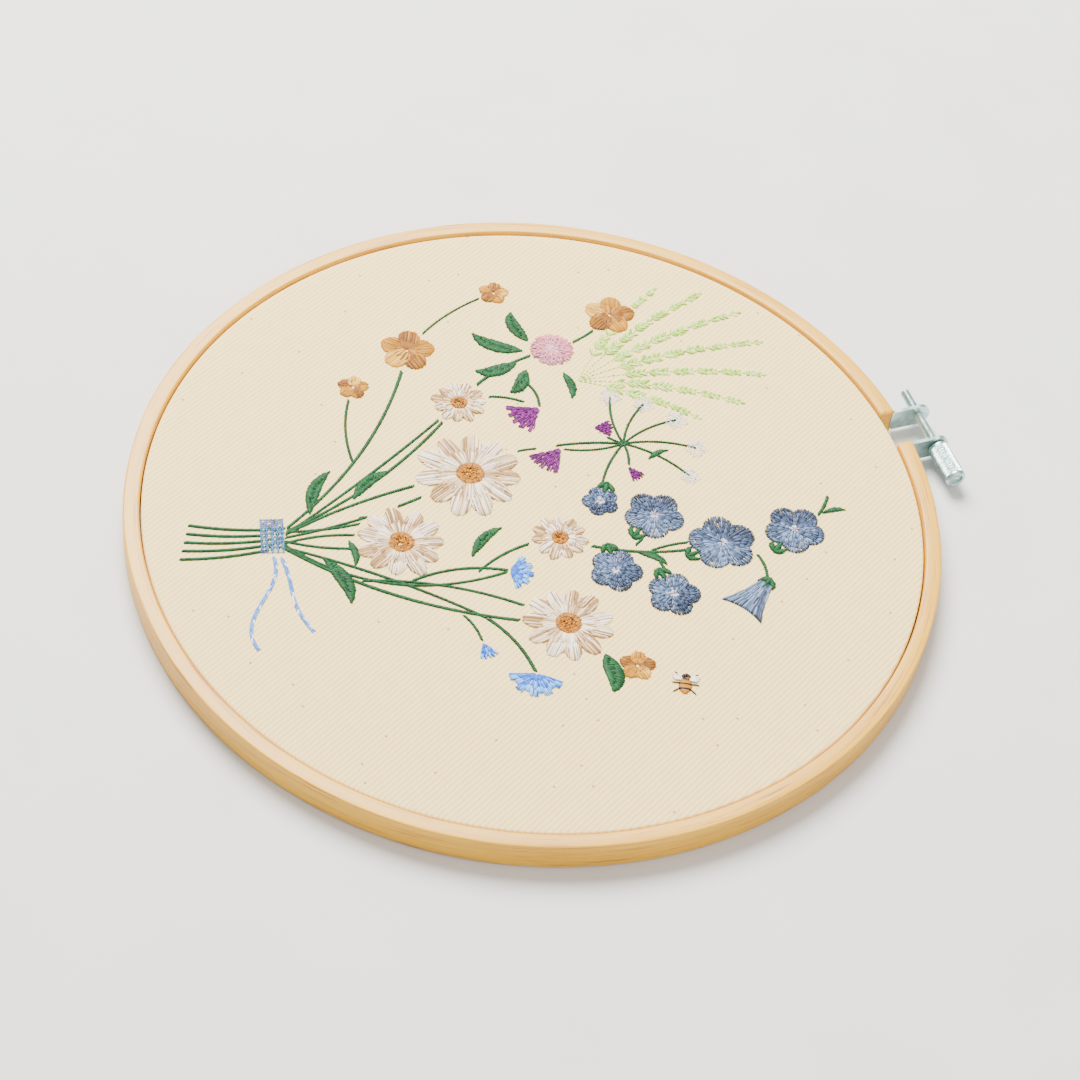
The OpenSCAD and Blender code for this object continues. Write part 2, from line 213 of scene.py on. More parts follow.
def wood_material(name, light, dark, line):
    """Split bamboo: long fine fibres that follow the ring, and slow changes of tone."""
    material, tree, shader = new_material(name, light, 0.42)
    _, x, y, z = object_axes(tree)
    radius = math_node(tree, "SQRT", plus(tree, times(tree, x, x), times(tree, y, y)))
    unit_x = math_node(tree, "DIVIDE", x, radius)
    unit_y = math_node(tree, "DIVIDE", y, radius)

    def along_ring(fineness, *settings):
        """Noise that is drawn out along the ring and changes quickly across it."""
        place = combine(tree, unit_x, unit_y, times(tree, radius, fineness))
        return noise(tree, place, *settings, times(tree, z, fineness))

    fibres = along_ring(420.0, 6.0, 4.0, 0.62)
    tones = along_ring(60.0, 2.4, 2.0, 0.5)
    colour = ramp(tree, fibres, [(0.34, dark), (0.47, light), (0.58, light), (0.72, line)])
    patches = ramp(tree, tones, [(0.36, (0.86, 0.8, 0.7)), (0.62, (1, 1, 1))])
    tree.links.new(mix(tree, 0.75, colour, patches, "MULTIPLY"), shader.inputs["Base Color"])
    rough = plus(tree, times(tree, fibres, 0.25), 0.3)
    tree.links.new(rough, shader.inputs["Roughness"])
    shader.inputs["Coat Weight"].default_value = 0.12
    shader.inputs["Coat Roughness"].default_value = 0.35
    bump(tree, shader, fibres, 0.25, 0.0002)
    return material


TWILL_PITCH = 0.00121
TWILL_ANGLE = math.radians(-35)
YARN_PITCH = 0.00062


def slant(tree, x, y, turn, pitch):
    """A phase that grows in one direction, by a full turn for each pitch."""
    return plus(tree, times(tree, x, math.cos(turn) * TAU / pitch),
                times(tree, y, math.sin(turn) * TAU / pitch))


def waves(tree, phase):
    return plus(tree, times(tree, math_node(tree, "SINE", phase), 0.5), 0.5)


def cloth_material():
    """Cream cotton twill: diagonal ribs made of short yarn humps, painted shade in the hollows
    between them, and dark seed flecks.
    """
    material, tree, shader = new_material("cotton_twill", (0.93, 0.86, 0.72), 0.9)
    coordinates, x, y, z = object_axes(tree)
    across = plus(tree, slant(tree, x, y, PICTURE_TURN + TWILL_ANGLE, TWILL_PITCH),
                  times(tree, z, TAU / TWILL_PITCH))
    wobble = noise(tree, coordinates, 160.0, 2.0)
    ribs = waves(tree, plus(tree, across, times(tree, wobble, 2.2)))
    yarns = waves(tree, slant(tree, x, y, PICTURE_TURN, YARN_PITCH))
    fuzz = noise(tree, coordinates, 2600.0, 3.0, 0.7)
    height = plus(tree, times(tree, ribs, 0.62),
                  plus(tree, times(tree, yarns, 0.2), times(tree, fuzz, 0.35)))
    slub = noise(tree, coordinates, 240.0, 3.0, 0.6)
    # Painted shade: the colour follows the bump height, so the hollows between ribs, yarns and fuzz
    # get a darker, browner cream and the tops a lighter one.
    base = ramp(tree, height, [(0.15, srgb(240, 204, 126)), (0.6, srgb(251, 222, 150)),
                               (1.0, srgb(254, 234, 174))])
    base = mix(tree, 0.3, base, ramp(tree, slub, [(0.35, (0.90, 0.86, 0.80)), (0.65, (1, 1, 1))]),
               "MULTIPLY")
    cells = add(tree, "ShaderNodeTexVoronoi", feature="F1", voronoi_dimensions="2D")
    cells.inputs["Scale"].default_value = 120.0
    cells.inputs["Randomness"].default_value = 1.0
    tree.links.new(coordinates, cells.inputs["Vector"])
    near = math_node(tree, "LESS_THAN", cells.outputs["Distance"], 0.04)
    parts = add(tree, "ShaderNodeSeparateXYZ")
    tree.links.new(cells.outputs["Color"], parts.inputs[0])
    chosen = math_node(tree, "GREATER_THAN", parts.outputs[0], 0.84)
    flecks = times(tree, times(tree, near, chosen), 0.8)
    tree.links.new(mix(tree, flecks, base, (0.30, 0.20, 0.10)), shader.inputs["Base Color"])
    shader.inputs["Sheen Weight"].default_value = 0.1
    shader.inputs["Sheen Roughness"].default_value = 0.5
    shader.inputs["Specular IOR Level"].default_value = 0.2
    bump(tree, shader, height, 0.55, 0.00012)
    return material


ZINC_TINT = (0.52, 0.68, 0.66)


def zinc_material():
    """Bright zinc plating with a faint blue-green cast and fine tool marks."""
    material, tree, shader = new_material("zinc_plate", ZINC_TINT, 0.26, 1.0)
    coordinates, *_ = object_axes(tree)
    clouds = noise(tree, coordinates, 420.0, 3.0, 0.6)
    colour = ramp(tree, clouds, [(0.3, (0.34, 0.50, 0.50)), (0.55, ZINC_TINT),
                                 (0.75, (0.72, 0.80, 0.77))])
    tree.links.new(colour, shader.inputs["Base Color"])
    rough = plus(tree, times(tree, clouds, 0.2), 0.22)
    tree.links.new(rough, shader.inputs["Roughness"])
    scratches = noise(tree, coordinates, 5200.0, 2.0, 0.7)
    bump(tree, shader, scratches, 0.12, 0.00003)
    return material


def thread_material(name, low, high):
    """Glossy thread: each stitch has its own shade between two, with fine twisted fibres."""
    material, tree, shader = new_material(name, high, 0.5)
    island = add(tree, "ShaderNodeNewGeometry").outputs["Random Per Island"]
    coordinates, *_ = object_axes(tree)
    fibres = noise(tree, coordinates, 3200.0, 2.0, 0.6)
    shade = plus(tree, times(tree, island, 0.75),
                      times(tree, fibres, 0.25))
    tree.links.new(ramp(tree, shade, [(0.1, low), (0.85, high)]), shader.inputs["Base Color"])
    shader.inputs["Sheen Weight"].default_value = 0.08
    shader.inputs["Sheen Roughness"].default_value = 0.35
    shader.inputs["Specular IOR Level"].default_value = 0.3
    bump(tree, shader, fibres, 0.25, 0.00004)
    return material


def srgb(r, g, b):
    """A colour given as it looks on screen, 0 to 255, in the shader's linear values."""
    def linear(value):
        value /= 255
        return value / 12.92 if value <= 0.04045 else ((value + 0.055) / 1.055) ** 2.4
    return (linear(r), linear(g), linear(b))


# Threads: the darkest and the lightest shade, as they look on screen before the light
THREADS = {
    "green": ((0, 48, 16), (0, 78, 32)),
    "leaf": ((0, 60, 24), (0, 94, 42)),
    "lime": ((160, 204, 62), (204, 236, 116)),
    "moss": ((120, 168, 40), (160, 202, 70)),
    "pale": ((204, 226, 132), (230, 242, 176)),
    "white": ((240, 234, 226), (255, 250, 242)),
    "cream": ((218, 192, 152), (242, 222, 192)),
    "tan": ((150, 108, 60), (194, 152, 98)),
    "brown": ((104, 66, 30), (150, 106, 60)),
    "orange": ((158, 96, 0), (198, 128, 0)),
    "rust": ((98, 50, 0), (142, 78, 0)),
    "slate": ((50, 66, 96), (84, 104, 138)),
    "navy": ((24, 33, 54), (44, 58, 84)),
    "mist": ((98, 120, 154), (138, 160, 190)),
    "lilac": ((186, 178, 198), (230, 222, 230)),
    "blue": ((8, 74, 190), (36, 118, 224)),
    "sky": ((76, 150, 232), (140, 196, 248)),
    "tie": ((50, 108, 190), (104, 160, 228)),
    "ochre": ((112, 66, 0), (152, 92, 0)),
    "gold": ((164, 106, 0), (202, 140, 4)),
    "peach": ((206, 152, 40), (232, 186, 84)),
    "pink": ((206, 112, 130), (236, 156, 166)),
    "mauve": ((124, 88, 114), (178, 140, 164)),
    "purple": ((88, 0, 90), (128, 2, 124)),
    "plum": ((72, 0, 76), (108, 4, 108)),
    "dark": ((18, 10, 6), (48, 26, 14)),
}
thread_materials = {}


def thread_of(name):
    if name not in thread_materials:
        low, high = THREADS[name]
        thread_materials[name] = thread_material("thread_" + name, srgb(*low), srgb(*high))
    return thread_materials[name]


# ---------------------------------------------------------------- mesh helpers

def link_mesh(name, verts, faces, materials, indices=None):
    mesh = bpy.data.meshes.new(name)
    mesh.from_pydata(verts, [], faces)
    for material in materials:
        mesh.materials.append(material)
    if indices:
        mesh.polygons.foreach_set("material_index", indices)
    mesh.polygons.foreach_set("use_smooth", [True] * len(faces))
    mesh.update()
    piece = bpy.data.objects.new(name, mesh)
    bpy.context.scene.collection.objects.link(piece)
    return piece


def smooth_by_angle(piece, degrees):
    """Marks edges sharper than the angle, so that faces meet crisply there."""
    work = bmesh.new()
    work.from_mesh(piece.data)
    bmesh.ops.recalc_face_normals(work, faces=work.faces)
    limit = math.radians(degrees)
    for edge in work.edges:
        edge.smooth = len(edge.link_faces) == 2 and edge.calc_face_angle(0) < limit
    work.to_mesh(piece.data)
    work.free()


def quarter(cx, cz, r, start, steps=4):
    """A quarter circle of (radius, z) points; start is its first angle in degrees."""
    angles = [math.radians(start + 90 * i / steps) for i in range(steps + 1)]
    return [(cx + r * math.cos(a), cz + r * math.sin(a)) for a in angles]


def rounded_section(low_r, high_r, low_z, high_z, r):
    """A closed outline of (radius, z) with rounded corners, anticlockwise."""
    return (quarter(high_r - r, low_z + r, r, -90) + quarter(high_r - r, high_z - r, r, 0)
            + quarter(low_r + r, high_z - r, r, 90) + quarter(low_r + r, low_z + r, r, 180))


# ---------------------------------------------------------------- rings

def ring_tone(angle, places, width):
    """1 at a bamboo joint, 0 away from it."""
    return max(math.exp(-((math.remainder(angle - p, TAU)) / width) ** 2) for p in places)


def outer_section(angle):
    """The outer strip's section at one angle, with the strap's seat cut into its face."""
    joints = [math.radians(a) for a in (92, 193, 291)]
    swell = 0.10 * ring_tone(angle, joints, 0.012)
    wave = 0.05 * math.sin(5 * angle + 1.1) + 0.04 * math.sin(11 * angle)
    high_r = OUTER_R - 0.1 + swell + wave
    low_r = OUTER_IN_R + 0.02
    from_gap = abs(math.remainder(angle, TAU))
    seat = STRAP_DEPTH if from_gap < STRAP_END else 0.0
    if seat:
        high_r = OUTER_R - 0.02
    r = 0.55
    hollow = 0.0 if seat else 0.16
    face = [(0.0, STRAP_LOW - 0.02), (seat, STRAP_LOW - 0.02), (seat + hollow * 0.5, 3.3),
            (seat + hollow, 4.9), (seat + hollow * 0.7, 6.0),
            (seat + hollow * 0.3, STRAP_HIGH + 0.02), (0.0, STRAP_HIGH + 0.02)]
    return (quarter(high_r - r, r, r, -90) + [(high_r - depth, z) for depth, z in face]
            + quarter(high_r - r, RING_H - r, r, 0) + quarter(low_r + r, RING_H - r, r, 90)
            + quarter(low_r + r, r, r, 180))


def sweep_ring(name, section, angles, material, closed):
    """Sweeps an outline of (radius, z) through angles about Z."""
    verts = []
    faces = []
    count = len(section(angles[0]))
    for angle in angles:
        for radius, z in section(angle):
            verts.append((radius * math.cos(angle) * MM, radius * math.sin(angle) * MM, z * MM))
    rows = len(angles)
    for row in range(rows if closed else rows - 1):
        a = row * count
        b = ((row + 1) % rows) * count
        for i in range(count):
            j = (i + 1) % count
            faces.append((a + i, b + i, b + j, a + j))
    if not closed:
        faces.append(tuple(range(count)))
        faces.append(tuple(reversed(range((rows - 1) * count, rows * count))))
    return link_mesh(name, verts, faces, [material])


def make_outer_strip(material):
    start = GAP_HALF
    stop = TAU - GAP_HALF
    end_gap = 0.0006
    hair = 0.0002
    round_end = 0.9 / OUTER_R
    seat_ends = (STRAP_END, TAU - STRAP_END)
    count = int((stop - start) / math.radians(1.0))
    angles = [start + (stop - start) * i / count for i in range(1, count)]
    angles = [a for a in angles if all(abs(a - e) > hair * 4 for e in seat_ends)]
    angles += [e + side for e in seat_ends for side in (-hair, hair)]
    angles += [start + end_gap, stop - end_gap]
    for f in (0.25, 0.6, 1):
        angles += [start + round_end * f, stop - round_end * f]

    def section(angle):
        outline = outer_section(angle)
        from_end = min(angle - start, stop - angle)
        if from_end < round_end:
            shrink = 1 - 0.10 * (1 - from_end / round_end) ** 2
            mid_r = (OUTER_IN_R + OUTER_R) / 2
            mid_z = RING_H / 2
            outline = [(mid_r + (r - mid_r) * shrink, mid_z + (z - mid_z) * shrink)
                       for r, z in outline]
        return outline

    strip = sweep_ring("outer_strip", section, sorted(set(angles)), material, closed=False)
    smooth_by_angle(strip, 40)
    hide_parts("outer_ring_half", "outer_ring_flex_half")
    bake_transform(strip)
    return strip


def make_inner_strip(material):
    def section(angle):
        wave = 0.06 * math.sin(4 * angle) + 0.04 * math.sin(9 * angle + 2)
        return rounded_section(INNER_R - INNER_T + 0.12 + wave, INNER_R - 0.03, 0.0,
                               CLOTH_BACK - 0.02, 0.5)

    count = 300
    angles = [TAU * i / count for i in range(count)]
    strip = sweep_ring("inner_strip", section, angles, material, closed=True)
    smooth_by_angle(strip, 40)
    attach(strip, "hoop")
    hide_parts("inner_ring")
    return strip


# ---------------------------------------------------------------- cloth

def cloth_height(x, y):
    """Slight unevenness of the stretched face, in millimetres."""
    r = math.hypot(x, y) / CLOTH_R
    swell = 0.03 * math.sin(x * 0.11 + 1.3) * math.sin(y * 0.09 + 0.4)
    return -0.04 + swell * max(0.0, 1 - r ** 4)


CLOTH_THICK = 0.42
CLOTH_BEND_R = 0.7
FACE_RINGS = 46
SECTORS = 180


def make_cloth(material):
    """One sheet: the stretched face, a rounded turn over the inner ring, and the skirt."""
    rim_r = CLOTH_R - 0.05
    face_r = rim_r - CLOTH_BEND_R
    bend_z = CLOTH_TOP - 0.03 - CLOTH_BEND_R
    quarter_turn = [math.radians(90 * i / 4) for i in range(5)]
    verts = [(0, 0, (CLOTH_TOP + cloth_height(0, 0)) * MM)]
    rings = []

    def add_ring(radius, height_at):
        rings.append(len(verts))
        for sector in range(SECTORS):
            a = TAU * sector / SECTORS
            x = radius * math.cos(a)
            y = radius * math.sin(a)
            verts.append((x * MM, y * MM, height_at(x, y, a) * MM))

    def add_face_ring(i, depth):
        add_ring(face_r * i / FACE_RINGS,
                 lambda x, y, a: CLOTH_TOP + cloth_height(x, y) - depth)

    def add_level_ring(radius, z):
        """A ring at one height, which is wavy at the cut edge."""
        wave = 0.12 if z < HEM_Z + 0.5 else 0.0
        add_ring(radius, lambda x, y, a: z + wave * math.sin(23 * a))

    def add_bend_ring(a, radius):
        add_level_ring(face_r + radius * math.sin(a), bend_z + radius * math.cos(a))

    drops = [bend_z - (bend_z - HEM_Z) * i / 5 for i in range(1, 6)]
    for i in range(1, FACE_RINGS):
        add_face_ring(i, 0)
    for a in quarter_turn:
        add_bend_ring(a, CLOTH_BEND_R)
    for z in drops:
        add_level_ring(rim_r, z)
    for z in reversed(drops):
        add_level_ring(rim_r - CLOTH_THICK, z)
    for a in reversed(quarter_turn):
        add_bend_ring(a, CLOTH_BEND_R - CLOTH_THICK)
    for i in range(FACE_RINGS - 1, 0, -1):
        add_face_ring(i, CLOTH_THICK)
    last = len(verts)
    verts.append((0, 0, (CLOTH_TOP + cloth_height(0, 0) - CLOTH_THICK) * MM))
    faces = []
    for s in range(SECTORS):
        t = (s + 1) % SECTORS
        faces.append((0, rings[0] + s, rings[0] + t))
        for a, b in zip(rings, rings[1:]):
            faces.append((a + s, b + s, b + t, a + t))
        faces.append((last, rings[-1] + t, rings[-1] + s))
    sheet = link_mesh("cloth_sheet", verts, faces, [material])
    smooth_by_angle(sheet, 60)
    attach(sheet, "hoop")
    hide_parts("cloth", "cloth_edge")
    return sheet


# ---------------------------------------------------------------- hardware

def turned_mesh(name, rows, around, material):
    """A round part about the screw's axis: rows of (y, radius function of angle)."""
    verts = []
    for y, radius_at in rows:
        for i in range(around):
            a = TAU * i / around
            radius = radius_at(a)
            verts.append(((SCREW_X + radius * math.cos(a)) * MM, y * MM,
                          (SCREW_Z + radius * math.sin(a)) * MM))
    faces = []
    for row in range(len(rows) - 1):
        for i in range(around):
            j = (i + 1) % around
            a = row * around
            faces.append((a + i, a + j, a + around + j, a + around + i))
    faces.append(tuple(reversed(range(around))))
    faces.append(tuple(range((len(rows) - 1) * around, len(rows) * around)))
    return link_mesh(name, verts, faces, [material])


THREAD_PITCH = 0.45
THREAD_DEPTH = 0.24


def make_rod(material):
    """The screw's rod, with a sharp thread and tapered ends."""
    low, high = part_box("screw_rod")
    y_low = low.y / MM
    y_high = high.y / MM
    rows = []
    steps = int((y_high - y_low) / THREAD_PITCH * 7)
    for i in range(steps + 1):
        y = y_low + (y_high - y_low) * i / steps
        taper = max(0.0, 0.4 - min(y - y_low, y_high - y))

        def radius_at(a, y=y, taper=taper):
            groove = abs(2 * ((y / THREAD_PITCH + a / TAU) % 1.0) - 1)
            return SCREW_R - 0.01 - THREAD_DEPTH * (1 - min(1.0, groove * 1.25)) - taper * 0.8
        rows.append((y, radius_at))
    rod = turned_mesh("threaded_rod", rows, 22, material)
    smooth_by_angle(rod, 70)
    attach(rod, "screw")
    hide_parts("screw_rod")


HEAD_RIDGES = 40
HEAD_CHAMFER = 0.45
KNURL_DEPTH = 0.2
KNURL_BANDS = 60


def make_head(material):
    """The knurled head: crossed ridges between two plain chamfered ends."""
    low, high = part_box("knurled_head")
    y_low = low.y / MM
    y_high = high.y / MM
    head_r = (high.x - low.x) / 2 / MM

    def plain(radius):
        return lambda a: radius

    def knurl(y):
        def radius_at(a):
            left = abs(((a / TAU * HEAD_RIDGES + y * 0.9) % 1.0) * 2 - 1)
            right = abs(((a / TAU * HEAD_RIDGES - y * 0.9) % 1.0) * 2 - 1)
            return head_r - 0.02 - KNURL_DEPTH * max(0.0, 1 - 1.6 * min(left, right))
        return radius_at

    rows = [(y_low + 0.65, plain(SCREW_R - 0.02)), (y_low + 0.6, plain(1.5)),
            (y_low + 0.05, plain(1.65)), (y_low, plain(1.8)), (y_low, plain(head_r - HEAD_CHAMFER)),
            (y_low + HEAD_CHAMFER * 0.7, plain(head_r - 0.08)),
            (y_low + HEAD_CHAMFER, plain(head_r - 0.02)), (y_low + 0.9, plain(head_r - 0.02))]
    for i in range(KNURL_BANDS + 1):
        y = y_low + 0.95 + (y_high - y_low - 1.9) * i / KNURL_BANDS
        rows.append((y, knurl(y)))
    rows += [(y_high - 0.9, plain(head_r - 0.02)), (y_high - HEAD_CHAMFER, plain(head_r - 0.02)),
             (y_high - HEAD_CHAMFER * 0.3, plain(head_r - 0.2)),
             (y_high, plain(head_r - HEAD_CHAMFER)), (y_high, plain(SCREW_R + 0.02))]
    head = turned_mesh("screw_head", rows, HEAD_RIDGES * 4, material)
    smooth_by_angle(head, 32)
    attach(head, "screw")
    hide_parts("knurled_head")


def dress_brackets(material):
    for name in ("lower_bracket", "upper_bracket", "lower_rivet", "upper_rivet"):
        node = NODES[name]
        node.data.materials.clear()
        node.data.materials.append(material)
        if name.endswith("bracket"):
            edge = node.modifiers.new("soft_edges", "BEVEL")
            edge.width = 0.12 * MM
            edge.segments = 2
            edge.limit_method = "ANGLE"
            edge.angle_limit = math.radians(50)


# ---------------------------------------------------------------- stitches

def bezier(p, t):
    u = 1 - t
    return tuple(u ** 3 * p[0][k] + 3 * u * u * t * p[1][k] + 3 * u * t * t * p[2][k]
                 + t ** 3 * p[3][k] for k in (0, 1))


def even_points(route, step):
    """Points a step apart along a cubic route, with the unit direction at each."""
    fine = [bezier(route, i / 120) for i in range(121)]
    lengths = [0.0]
    for a, b in zip(fine, fine[1:]):
        lengths.append(lengths[-1] + math.dist(a, b))
    total = lengths[-1]
    count = max(2, round(total / step))
    points = []
    k = 0
    for i in range(count + 1):
        want = total * i / count
        while k < 119 and lengths[k + 1] < want:
            k += 1
        span = lengths[k + 1] - lengths[k] or 1
        f = (want - lengths[k]) / span
        a, b = fine[k], fine[k + 1]
        size = math.dist(a, b) or 1
        points.append(((a[0] + (b[0] - a[0]) * f, a[1] + (b[1] - a[1]) * f),
                       ((b[0] - a[0]) / size, (b[1] - a[1]) / size)))
    return points


# The share of stitches that also show a thread on the back of the cloth
BACK_SHARE = 0.3


class Stitches:
    """Collects stitches, each a short thread that rises out of the cloth and dips back in."""

    def __init__(self, name, seed):
        self.name = name
        self.threads = []
        self.verts = []
        self.faces = []
        self.indices = []
        self.random = random.Random(seed)

    def tube(self, a, along, rings, half, thread):
        """A closed four-sided thread; rings are (distance along, side step, height, width)."""
        first = len(self.verts)
        dx, dy = along
        for t, side, height, wide in rings:
            cx = a[0] + dx * t - dy * side
            cy = a[1] + dy * t + dx * side
            for across, up in ((1, -0.35), (0.5, 0.6), (-0.5, 0.6), (-1, -0.35)):
                px, py = turned(cx - dy * across * half * wide, cy + dx * across * half * wide)
                self.verts.append((px * MM, py * MM, (height + up * half * wide) * MM))
        if thread not in self.threads:
            self.threads.append(thread)
        index = self.threads.index(thread)
        for r in range(len(rings) - 1):
            p = first + r * 4
            for k in range(4):
                m = (k + 1) % 4
                self.faces.append((p + m, p + k, p + 4 + k, p + 4 + m))
        p = first + (len(rings) - 1) * 4
        self.faces.append((first, first + 1, first + 2, first + 3))
        self.faces.append((p + 3, p + 2, p + 1, p))
        self.indices += [index] * (4 * len(rings) - 2)

    def stitch(self, a, b, thread, width=0.42, lift=0.3, base=0.0, bow=0.0):
        """A thread from a to b in picture millimetres; base is how high it lies."""
        dx = b[0] - a[0]
        dy = b[1] - a[1]
        size = math.hypot(dx, dy)
        if size < 0.15:
            return
        along = (dx / size, dy / size)
        half = width / 2
        top = CLOTH_TOP + base + lift - half * 0.6
        low = CLOTH_TOP + min(base, 0.1) - 0.16
        dip = min(0.3, 0.4 / size)
        steps = ((0.0, low, 0.5), (dip, top - lift * 0.2, 0.95), (0.5, top, 1.0),
                 (1 - dip, top - lift * 0.2, 0.95), (1.0, low, 0.5))
        if size < 1.5:
            steps = (steps[0], (0.34, top, 1.0), (0.66, top, 1.0), steps[4])
        rings = [(t * size, bow * math.sin(math.pi * t), z, wide) for t, z, wide in steps]
        self.tube(a, along, rings, half, thread)
        if self.random.random() < BACK_SHARE:
            z = CLOTH_BACK - 0.05
            back = [(-0.1, 0.0, z + 0.15, 0.5), (size * 0.5, 0.1, z, 1.0),
                    (size + 0.1, 0.0, z + 0.15, 0.5)]
            self.tube(a, along, back, 0.17, thread)

    def ray(self, centre, near, far, angle, thread, twist=0.0, **shape):
        """A thread that runs outward from a centre, between two distances."""
        self.stitch(polar(centre, near, angle), polar(centre, far, angle + twist), thread, **shape)

    def jitter(self, amount):
        return self.random.uniform(-amount, amount)

    def pick(self, *choices):
        """One of (thread, weight) pairs."""
        total = sum(max(0, weight) for _, weight in choices)
        value = self.random.random() * total
        for thread, weight in choices:
            value -= max(0, weight)
            if value <= 0:
                return thread
        return choices[-1][0]

    def finish(self, node):
        piece = link_mesh(self.name, self.verts, self.faces,
                          [thread_of(t) for t in self.threads], self.indices)
        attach(piece, "hoop")
        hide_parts(node)
        return piece


def polar(centre, radius, angle):
    return (centre[0] + radius * math.cos(angle), centre[1] + radius * math.sin(angle))


def toward(at, length, degrees):
    return polar(at, length, math.radians(degrees))


def bowed(start, end, bow, width):
    """A cubic route that bows to one side, with its width last, as in the CAD source."""
    dx, dy = end[0] - start[0], end[1] - start[1]
    side = (-dy * bow, dx * bow)
    return (start, (start[0] + dx / 3 + side[0], start[1] + dy / 3 + side[1]),
            (start[0] + dx * 2 / 3 + side[0], start[1] + dy * 2 / 3 + side[1]), end, width)


# The heads lie near the photo's, in whole millimetres. Their outlines, and the lines between
# them, are drawn by rule. The CAD source holds the same tables.

# Daisies: x, y, petal reach, centre radius
DAISIES = [(-18, 8, 15, 3.8), (-32, -18, 12, 3.4), (12, -36, 12, 3.4), (7, -9, 8, 2.3),
           (-24, 32, 8, 2.3)]
PETALS = 11

# Open harebells: x, y, radius, direction of the cap in degrees
OPEN_BELLS = [(16, 5, 5, 80), (30, 3, 8, 240), (48, -3, 9, 215), (66, 5, 8, 240),
              (22, -17, 7, 110), (37, -22, 7, 120)]
HANGING_TOP = (60, -14)
HANGING_TURN = math.radians(240)
HANGING_L = 12
HANGING_W = 6
CAP_R = 1.8

# Fans: x, y of the base, direction, reach, half spread
CORNFLOWERS = [(-4, -22, 0, 6, 70), (6, -53, 270, 7, 80), (-8, -46, 300, 5, 30)]
KNAPWEEDS = [(-3, 34, 225, 9, 38), (4, 21, 240, 9, 32), (12, 30, 10, 5, 36), (22, 18, 315, 5, 24)]

# Buttercups: x, y, petal radius, which is also the distance of the petals from the middle
BUTTERCUPS = [(-40, 48, 3.8), (12, 72, 3.6), (-52, 32, 2.2), (-20, 74, 2.2), (30, -46, 2.4)]
BUTTERCUP_PETALS = 5
CLOVER = (-2, 56)
CLOVER_R = 6.2
UMBELS = [(15, 42, 3.6), (24, 41, 3.4), (33, 37, 3.6), (39, 28, 3.6), (38, 18, 3.2)]
UMBEL_ROOT = (20, 26)
BEE = (42, -50)
BEE_R = 2.2

TIE_AT = (-64, -22)
TIE_TURN = math.radians(12)
TIE_SIZE = (5.4, 11)
TIE_WRAPS = 4
CUT_ENDS = 5
GOLDEN_ANGLE = 2.39996

# Stems: start, end, bow, width
STEM_LINKS = [
    ((-61, -19), (-40, 48), -0.1, 1.2), ((-48, 6), (-52, 32), 0.1, 0.9),
    ((-61, -20), (-24, 32), -0.08, 1.2), ((-61, -21), (-18, 8), 0.06, 1.2),
    ((-61, -22), (-18, 8), -0.06, 1.1), ((-61, -23), (-32, -18), -0.1, 1.1),
    ((-61, -25), (12, -36), -0.1, 1.3), ((-8, -38), (6, -53), 0.1, 1.2),
    ((-61, -20), (-18, 8), -0.13, 1.1), ((-61, -21), (-24, 32), -0.02, 1.1),
    ((-61, -24), (-32, -18), 0.12, 1.1), ((-61, -24), (-4, -22), -0.2, 1.1),
    ((-61, -25), (-8, -38), 0.04, 1.1), ((-40, -32), (12, -36), 0.1, 1.1),
    ((-44, -12), (-18, 8), -0.16, 1), ((-18, 8), (4, 21), 0.16, 0.8),
    ((-24, 32), (-3, 34), 0.2, 0.9), ((30, -9), (48, -3), 0.1, 1),
    ((-14, -38), (-8, -46), 0.1, 0.9), ((-28, -30), (-4, -22), 0.12, 1.2),
    ((-12, -24), (7, -9), 0.12, 1.1), ((7, -9), (48, -3), -0.12, 1.2),
    ((26, -8), (30, 3), -0.1, 1.0), ((7, -9), (22, -17), 0.3, 1.0),
    ((30, -9), (37, -22), 0.1, 1.0), ((48, -3), (66, 5), -0.2, 1.1),
    ((56, -4), (60, -14), 0.15, 1.0), ((66, 5), (74, 18), -0.15, 1.2),
    ((-18, 8), (20, 26), 0.12, 1.0), ((20, 26), (16, 5), -0.1, 0.9),
    ((20, 26), (4, 21), 0.1, 0.8), ((20, 26), (22, 18), 0.1, 0.9),
    ((20, 26), (12, 30), 0.1, 0.8), ((-24, 32), (-2, 56), 0.12, 1.2),
    ((-10, 44), (-3, 34), 0.2, 1.0), ((-2, 56), (12, 72), -0.1, 1.1),
    ((-40, 48), (-20, 74), 0.1, 0.7), ((12, -36), (30, -46), -0.12, 1.0),
]
# Leaves: x, y, direction, length, width
LEAF_PLACES = [
    (-56, -13, 80, 15, 3.6), (-46, -6, 55, 13, 3.4), (-50, -27, 305, 15, 4.0),
    (-14, -19, 60, 12, 3.0), (22, -44, 285, 11, 5.0), (-10, 54, 165, 14, 4.4),
    (-9, 58, 120, 11, 4.0), (-11, 49, 205, 11, 4.2), (-8, 47, 250, 9, 4.2),
    (2, 48, 290, 9, 2.6), (-45, -20, 290, 8, 2.2), (27, -10, 340, 8, 2.4),
    (27, 22, 40, 6, 1.8), (73, 12, 20, 6, 1.8),
]
LEAF_BEND = 0.14
FERN_ROOT = (6, 46)
FERN_COUNT = 7
FERN_FIRST = 66
FERN_STEP = 13


def fern_length(k):
    return 53 - 1.7 * (k - 2.6) ** 2


def cap_at(bell):
    return toward(bell[:2], bell[2], bell[3])


